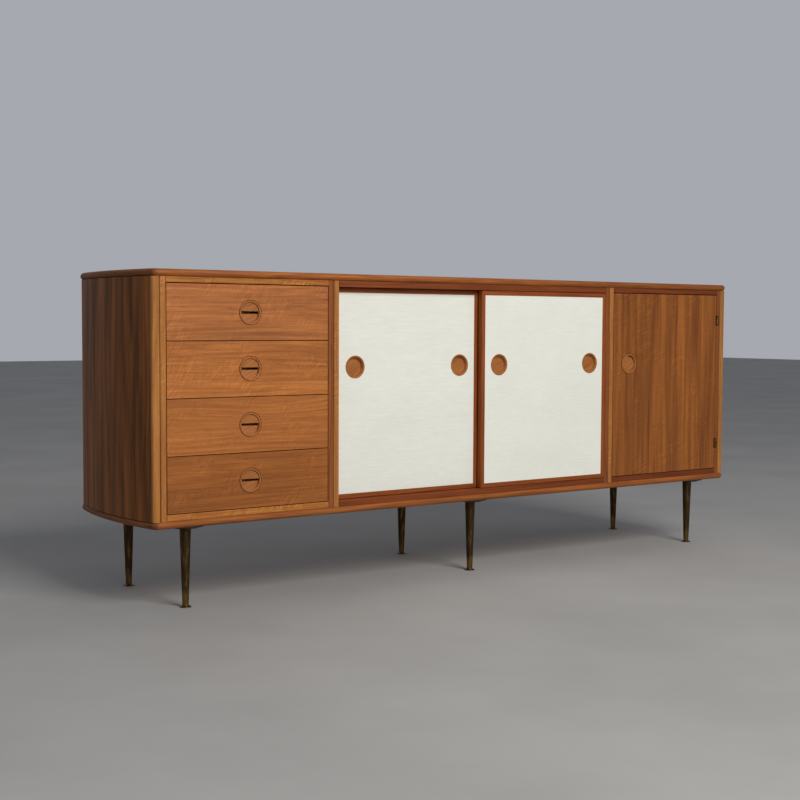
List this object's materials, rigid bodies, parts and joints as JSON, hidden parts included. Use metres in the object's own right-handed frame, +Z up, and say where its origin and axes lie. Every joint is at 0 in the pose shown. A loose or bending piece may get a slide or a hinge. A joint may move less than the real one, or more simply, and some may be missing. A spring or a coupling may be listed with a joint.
{
  "type": "sideboard",
  "caption": "Long low teak sideboard with bowed ends, a bank of drawers, two cloth-covered sliding doors and a hinged door, on tapered brass legs.",
  "frame": {"origin": "middle of the footprint on the floor", "axes": "+X along the width to the right seen from the front, +Y towards the back, +Z up; the front faces -Y"},
  "size_m": [1.9996, 0.43, 0.806],
  "materials": {
    "teak_veneer_slab": "satin oiled",
    "teak_lipping": "satin oiled",
    "teak_veneer_ends": "satin oiled",
    "teak_posts": "satin oiled",
    "teak_uprights": "satin oiled",
    "teak_bay_boards": "satin oiled",
    "beech_ply": "matt",
    "steel_screws": "plain",
    "beech": "matt",
    "shelf_veneer": "satin",
    "brass_pins": "satin",
    "aged_brass": "aged satin",
    "black_steel": "satin black",
    "bronzed_brass": "dark bronzed",
    "teak_drawer_fronts": "satin oiled",
    "drawer_box_wood": "matt",
    "turned_teak": "satin oiled",
    "red_teak_frames": "satin oiled",
    "grasscloth": "woven",
    "teak_veneer_door": "satin oiled"
  },
  "bodies": {
    "root": {"top_panel": "teak_veneer_slab", "top_lipping": "teak_lipping", "bottom_panel": "teak_veneer_slab", "bottom_lipping": "teak_lipping", "end_panel_left": "teak_veneer_ends", "end_panel_right": "teak_veneer_ends", "front_corner_posts": "teak_posts", "rear_corner_posts": "teak_posts", "drawer_bay_side_left": "teak_uprights", "drawer_bay_side_right": "teak_uprights", "centre_bay_side_left": "teak_uprights", "centre_bay_side_right": "teak_uprights", "door_bay_side_left": "teak_uprights", "door_bay_side_right": "teak_uprights", "side_bay_tops": "teak_bay_boards", "centre_bay_top": "teak_bay_boards", "side_bay_floors": "teak_bay_boards", "centre_bay_floor": "teak_bay_boards", "back_panel": "beech_ply", "back_screws": "steel_screws", "drawer_runners": "beech", "centre_shelf": "shelf_veneer", "door_bay_shelf": "shelf_veneer", "shelf_pins": "brass_pins", "front_legs": "aged_brass", "rear_legs": "aged_brass", "leg_feet": "aged_brass", "leg_plates": "black_steel", "leg_bosses": "black_steel", "leg_screws": "steel_screws", "hinge_frame_leaves": "bronzed_brass", "hinge_pins": "bronzed_brass", "door_catch": "beech"},
    "hinged_door": {"hinged_door_panel": "teak_veneer_door", "hinged_door_pull": "turned_teak", "hinge_door_leaves": "bronzed_brass"},
    "left_slider": {"left_slider_frame": "red_teak_frames", "left_slider_panel": "beech_ply", "left_slider_cloth": "grasscloth", "left_slider_pulls": "turned_teak"},
    "right_slider": {"right_slider_frame": "red_teak_frames", "right_slider_panel": "beech_ply", "right_slider_cloth": "grasscloth", "right_slider_pulls": "turned_teak"},
    "drawer_1": {"drawer_1_front": "teak_drawer_fronts", "drawer_1_box": "drawer_box_wood", "drawer_1_bottom": "beech_ply", "drawer_1_pull": "turned_teak"},
    "drawer_2": {"drawer_2_front": "teak_drawer_fronts", "drawer_2_box": "drawer_box_wood", "drawer_2_bottom": "beech_ply", "drawer_2_pull": "turned_teak"},
    "drawer_3": {"drawer_3_front": "teak_drawer_fronts", "drawer_3_box": "drawer_box_wood", "drawer_3_bottom": "beech_ply", "drawer_3_pull": "turned_teak"},
    "drawer_4": {"drawer_4_front": "teak_drawer_fronts", "drawer_4_box": "drawer_box_wood", "drawer_4_bottom": "beech_ply", "drawer_4_pull": "turned_teak"}
  },
  "joints": [
    {"name": "drawer_1_slide", "type": "slide", "parent": "root", "child": "drawer_1", "axis": [0, -1, 0], "range_m": [0, 0.3]},
    {"name": "drawer_2_slide", "type": "slide", "parent": "root", "child": "drawer_2", "axis": [0, -1, 0], "range_m": [0, 0.3]},
    {"name": "drawer_3_slide", "type": "slide", "parent": "root", "child": "drawer_3", "axis": [0, -1, 0], "range_m": [0, 0.3]},
    {"name": "drawer_4_slide", "type": "slide", "parent": "root", "child": "drawer_4", "axis": [0, -1, 0], "range_m": [0, 0.3]},
    {"name": "left_slider_slide", "type": "slide", "parent": "root", "child": "left_slider", "axis": [1, 0, 0], "range_m": [0, 0.46]},
    {"name": "right_slider_slide", "type": "slide", "parent": "root", "child": "right_slider", "axis": [-1, 0, 0], "range_m": [0, 0.46]},
    {"name": "hinged_door_hinge", "type": "hinge", "parent": "root", "child": "hinged_door", "pos_m": [0.9445, -0.2094, 0.5035], "axis": [0, 0, 1], "range_deg": [0, 105]}
  ]
}
